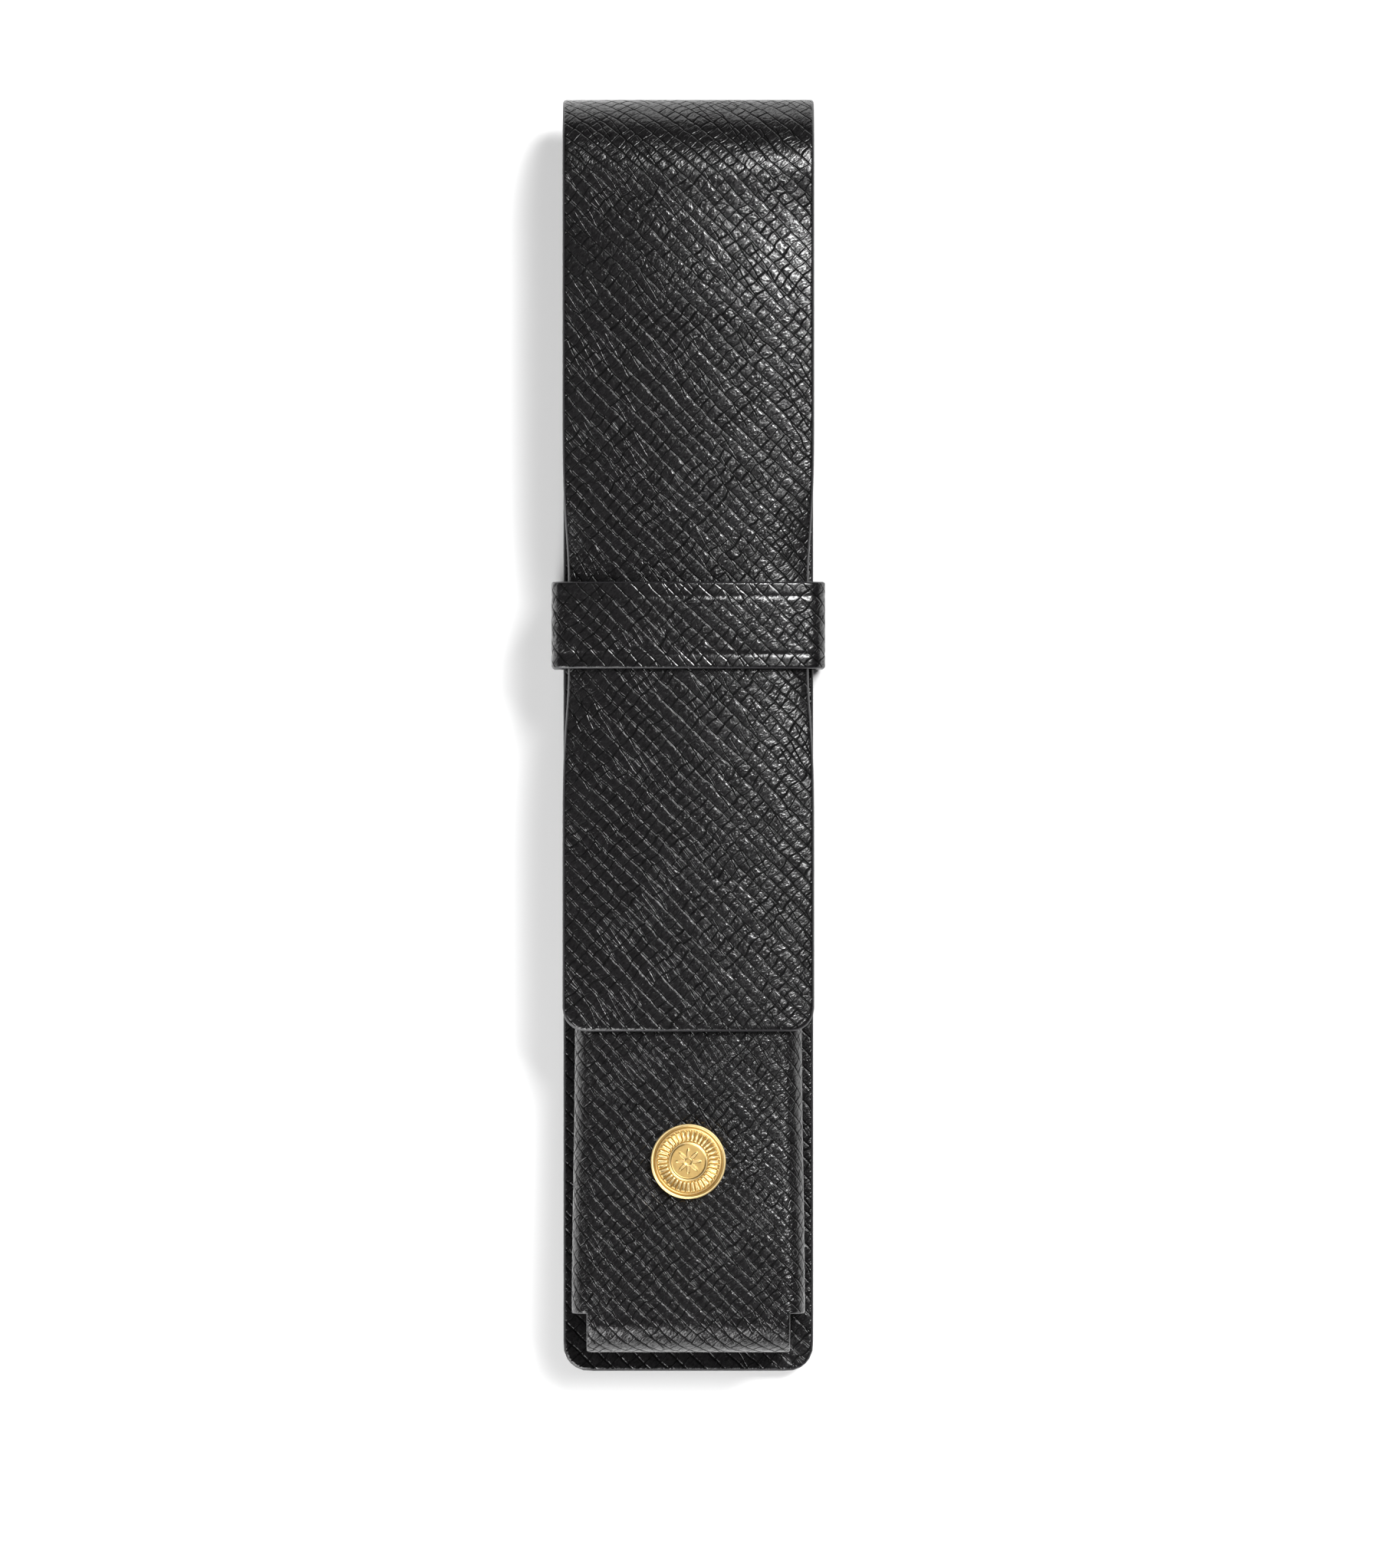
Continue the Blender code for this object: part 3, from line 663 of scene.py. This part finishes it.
def line_up(values, target):
    """Shifts a grid's lines a little, so that one of them falls on target."""
    size = np.abs(values)
    nearest = size[np.argmin(np.abs(size - target))]
    return np.sign(values) * np.interp(size, [0, nearest, size.max()], [0, target, size.max()])


def pocket_outline(x, s):
    """The pattern's cut lines: grid lines on the notches, and a dip in the middle of the mouth."""
    x, s = line_up(x, TONGUE_HALF), line_up(s, notch_at)
    dip = MOUTH_DIP * (1 - ease(np.abs(x), 0.35 * MOUTH_DIP_WIDTH, 0.62 * MOUTH_DIP_WIDTH))
    return x, s + dip * (1 - ease(s, 0, 3 * MOUTH_DIP))


def on_pocket(x, s, depth):
    """A point of the pocket: x across its pattern, s down it from the mouth, depth under its outside. It is
    widest at the foot, and its crown fades out before the foot and down the sides."""
    across, rise = follow(side_line, np.abs(x), -depth)
    y = pocket_high[1] - s
    across = across * (1 - FLARE * ease(y, pocket_low[1] + FLARE_FROM, FLARE_TO))
    on_face = 1 - ease(np.abs(x), pocket_half, pocket_half + SIDE_FADE)
    above_foot = 1 - ease(s, notch_at - CROWN_FADE, notch_at)
    along, up = follow(foot_line, s, crown(across) * on_face * above_foot - rise)
    return np.sign(x) * across, along, up


def in_notch(x, s):
    """Whether part of the pattern is cut out beside the foot."""
    return abs(x) > TONGUE_HALF and s > notch_at


def cut_pocket(name, thickness, cell, pared, cuts):
    """The pocket's pattern, cut flat."""
    return cut_sheet(name, 2 * side_line[0][-1], 0, foot_line[0][-1], thickness, cell, pared=pared, cuts=cuts,
                     shape=pocket_outline, drop=in_notch, fine=lambda x, s: abs(x) < pocket_half + 2)


pocket = lay_sheet(cut_pocket("pocket", POCKET_LEATHER, POCKET_CELL, POCKET_PARED, 3),
                   on_pocket, [grained_leather, edge_paint],
                   grain=lambda x, s: (POCKET_GRAIN * x, POCKET_GRAIN * s), phase=POCKET_GRAIN_AT)
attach(pocket, "back")
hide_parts("pocket_leather")

pocket_suede = lay_sheet(cut_pocket("pocket_suede", POCKET_LINING, POCKET_SUEDE_CELL, 0, 0),
                         on_pocket, [suede, edge_paint],
                         face=POCKET_LEATHER - GLUED_OVERLAP + POCKET_LINING, inward=True)
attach(pocket_suede, "back")
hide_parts("pocket_lining")


# The keeper band: a loop of the same calf that slides along the case and holds the flap down. It is lined,
# its edges are painted, and a hot creasing iron has drawn a line near each edge. Its ends meet at the back.
BAND_LEATHER = 0.75
BAND_LINING = 0.4
FRONT_SHOULDER = 2.0
BACK_SHOULDER = 2.0
CREASE_INSET = 1.9
CREASE_DEPTH = 0.05
CREASE_HALF_WIDTH = 0.24
BUTT_GAP = 0.12
BAND_CELL = 0.8
BAND_PARED = 0.3
BAND_LINING_PARED = 0.1
BAND_GRAIN_AT = 7.9

half, tall = band_high[0], band_high[2] - band_low[2]
side = tall - FRONT_SHOULDER - BACK_SHOULDER
half_back, back_bend = (half - BACK_SHOULDER, 0), (quarter * BACK_SHOULDER, -90)
front, front_bend = (2 * (half - FRONT_SHOULDER), 0), (quarter * FRONT_SHOULDER, -90)
band_line = route((0, band_low[2]), 180, half_back, back_bend, (side, 0), front_bend,
                  front, front_bend, (side, 0), back_bend, half_back)
band_round = band_line[0][-1]


def on_band(x, s, depth):
    """A point of the band: x up the case, s round it from the joint at the back, depth under its outside."""
    across, up = follow(band_line, s, -depth)
    return across, band_y + x, up - crown(across) * ease(up, tall / 2, tall)


def crease(x, s):
    """The tooled lines, and how much grain is left: the iron presses what is outside them nearly smooth."""
    off = (band_half - CREASE_INSET) - np.abs(x)
    return -CREASE_DEPTH * np.exp(-(off / CREASE_HALF_WIDTH) ** 2), 0.35 + 0.65 * ease(off, -0.1, 0.5)


def cut_band(name, thickness, **cut):
    """A strip that goes once round the band, less the gap where its ends meet."""
    ends = (BUTT_GAP / 2, band_round - BUTT_GAP / 2)
    return cut_sheet(name, 2 * band_half, *ends, thickness, BAND_CELL, **cut)


band = lay_sheet(cut_band("keeper_band", BAND_LEATHER, pared=BAND_PARED),
                 on_band, [grained_leather, edge_paint],
                 grain=lambda x, s: (s - band_round / 2, -x), phase=BAND_GRAIN_AT, tooling=crease)
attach(band, "band")
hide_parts("band_leather")

band_suede = lay_sheet(cut_band("keeper_band_suede", BAND_LINING, pared=BAND_LINING_PARED, cuts=0),
                       on_band, [suede, edge_paint],
                       face=BAND_LEATHER - GLUED_OVERLAP + BAND_LINING, inward=True)
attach(band_suede, "band")
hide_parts("band_lining")


# The stud: a stamped brass disc, gilt and polished, held in a cup with a raised rim. The disc has a lip, a
# ring of short flutes, a raised ring and a plain rosette. The rivet and washer, nickelled, are the CAD nodes.
GILT = "#dfc690"
GILT_DEEP = "#a98541"
NICKEL = "#c9c6c0"
RIM_WIDTH = 0.08
FLUTES = 36
PETALS = 8
SPIN_STEPS = 380
DISC_RINGS = 60
DISC_SINK = 0.32
FLUTE_HEIGHT = 0.20
RING_HEIGHT = 0.20
LIP_HEIGHT = 0.19
ROSETTE_HEIGHT = 0.08

cup_low, cup_high = box_mm("stud_cup")
stud_x, stud_y = (cup_low[0] + cup_high[0]) / 2, (cup_low[1] + cup_high[1]) / 2
stud_radius = (cup_high[0] - cup_low[0]) / 2
stud_top = max(cup_high[2], box_mm("stud_face")[1][2])


def gilt_brass():
    """Stamped brass, gilt and polished: bright on the high parts, darker where the stamping is deep."""
    material, tree = new_material("Gilt brass, stamped and polished")
    spot = add_node(tree, "ShaderNodeTexCoord").outputs["Object"]
    height = add_node(tree, "ShaderNodeSeparateXYZ", {0: spot}).outputs[2]
    inputs = {0: height, 1: (stud_top - 0.42) * MM, 2: (stud_top - 0.12) * MM}
    high = add_node(tree, "ShaderNodeMapRange", inputs).outputs[0]
    wear = mottle(tree, 2500.0, 3.0)
    colour = mix_colours(tree, high, GILT_DEEP, GILT)
    rough = spread(tree, wear, 0.34, 0.50)
    bump = bumps(tree, wear, 0.006)
    add_surface(tree, Base_Color=colour, Metallic=1.0, Roughness=rough, Normal=bump)
    return material


def turned(name, profile, material):
    """A round piece from its half outline, as radius and height, spun about the stud's middle."""
    bpy.ops.object.select_all(action="DESELECT")
    bpy.ops.mesh.primitive_circle_add(vertices=len(profile), radius=1)
    piece = bpy.context.object
    piece.name = piece.data.name = name
    move_points(piece, np.array([(r, 0, z) for r, z in profile], float))
    pick(piece, "EDGE", lambda e: {v.index for v in e.verts} == {0, len(profile) - 1})
    bpy.ops.mesh.delete(type="EDGE_FACE")
    bpy.ops.mesh.select_all(action="SELECT")
    bpy.ops.mesh.spin(steps=SPIN_STEPS, angle=2 * math.pi, center=(0, 0, 0), axis=(0, 0, 1))
    bpy.ops.mesh.select_all(action="SELECT")
    bpy.ops.mesh.remove_doubles(threshold=1e-4)
    bpy.ops.mesh.normals_make_consistent(inside=False)
    bpy.ops.object.mode_set(mode="OBJECT")
    piece.data.materials.append(material)
    return piece


gilt = gilt_brass()
rim_width = RIM_WIDTH * stud_radius
cup_depth = stud_top - cup_low[2]
cup_profile = [(0, -cup_depth), (stud_radius - 0.25, -cup_depth), (stud_radius - 0.05, -cup_depth + 0.12),
               (stud_radius, -cup_depth + 0.35), (stud_radius, -0.30), (stud_radius, -0.12),
               (stud_radius - 0.03, -0.04), (stud_radius - 0.09, 0), (stud_radius - 0.12, 0),
               (stud_radius - 0.27, 0), (stud_radius - 0.30, -0.01), (stud_radius - 0.34, -0.05),
               (stud_radius - 0.37, -0.14), (stud_radius - rim_width, -0.30), (stud_radius - rim_width, -0.7),
               (0, -0.7)]
cup = turned("stud_rim", cup_profile, gilt)
move_points(cup, (points_of(cup) + (stud_x, stud_y, stud_top)) * MM)
bpy.ops.object.shade_smooth_by_angle(angle=math.radians(50))
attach(cup, "back")
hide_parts("stud_cup")

disc_radius = stud_radius - rim_width - 0.02
flute_inner, flute_outer = 0.55 * stud_radius, 0.81 * stud_radius
ring_inner, ring_outer = 0.47 * stud_radius, 0.52 * stud_radius
lip_inner, lip_outer = 0.845 * stud_radius, 0.885 * stud_radius


def raised(radius, inner, outer, soft):
    """1 between two radii and 0 elsewhere, eased over soft on each side of both."""
    return ease(radius, inner - soft, inner + soft) * (1 - ease(radius, outer - soft, outer + soft))


radii = np.linspace(0, disc_radius, DISC_RINGS)
disc = turned("stud_disc", [(r, -DISC_SINK) for r in radii] + [(disc_radius, -0.65), (0, -0.65)], gilt)
x, y, z = points_of(disc).T
r, turn = np.hypot(x, y), np.arctan2(y, x)
ridge = np.abs(np.cos(turn * FLUTES / 2))
hollow = 0.5 * ease(ridge, 0.8, 1.0) * ease(r, 0.62 * stud_radius, 0.78 * stud_radius)
stamped = FLUTE_HEIGHT * raised(r, flute_inner, flute_outer, 0.10) * (ease(ridge, 0.1, 0.7) - hollow)
stamped += RING_HEIGHT * raised(r, ring_inner, ring_outer, 0.07)
stamped += LIP_HEIGHT * raised(r, lip_inner, lip_outer, 0.045)
petal = 0.5 + 0.5 * np.cos(turn * PETALS)
reach = 0.34 * stud_radius * (0.40 + 0.60 * petal)
stamped += ROSETTE_HEIGHT * (1 - ease(r, reach - 0.2, reach + 0.05))
stamped -= ROSETTE_HEIGHT * (1 - ease(r, 0.07 * stud_radius, 0.11 * stud_radius))
z = np.where(z > -0.5, z + stamped, z)
move_points(disc, (np.stack([x, y, z], axis=1) + (stud_x, stud_y, stud_top)) * MM)
bpy.ops.object.shade_smooth_by_angle(angle=math.radians(60))
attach(disc, "back")
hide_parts("stud_face")

nickel, tree = new_material("Nickelled steel, barrel polished")
rough = spread(tree, mottle(tree, 1800.0, 4.0), 0.22, 0.45)
add_surface(tree, Base_Color=linear(NICKEL), Metallic=1.0, Roughness=rough)
for name in ("stud_rivet", "stud_washer"):
    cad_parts[name].data.materials.clear()
    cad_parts[name].data.materials.append(nickel)
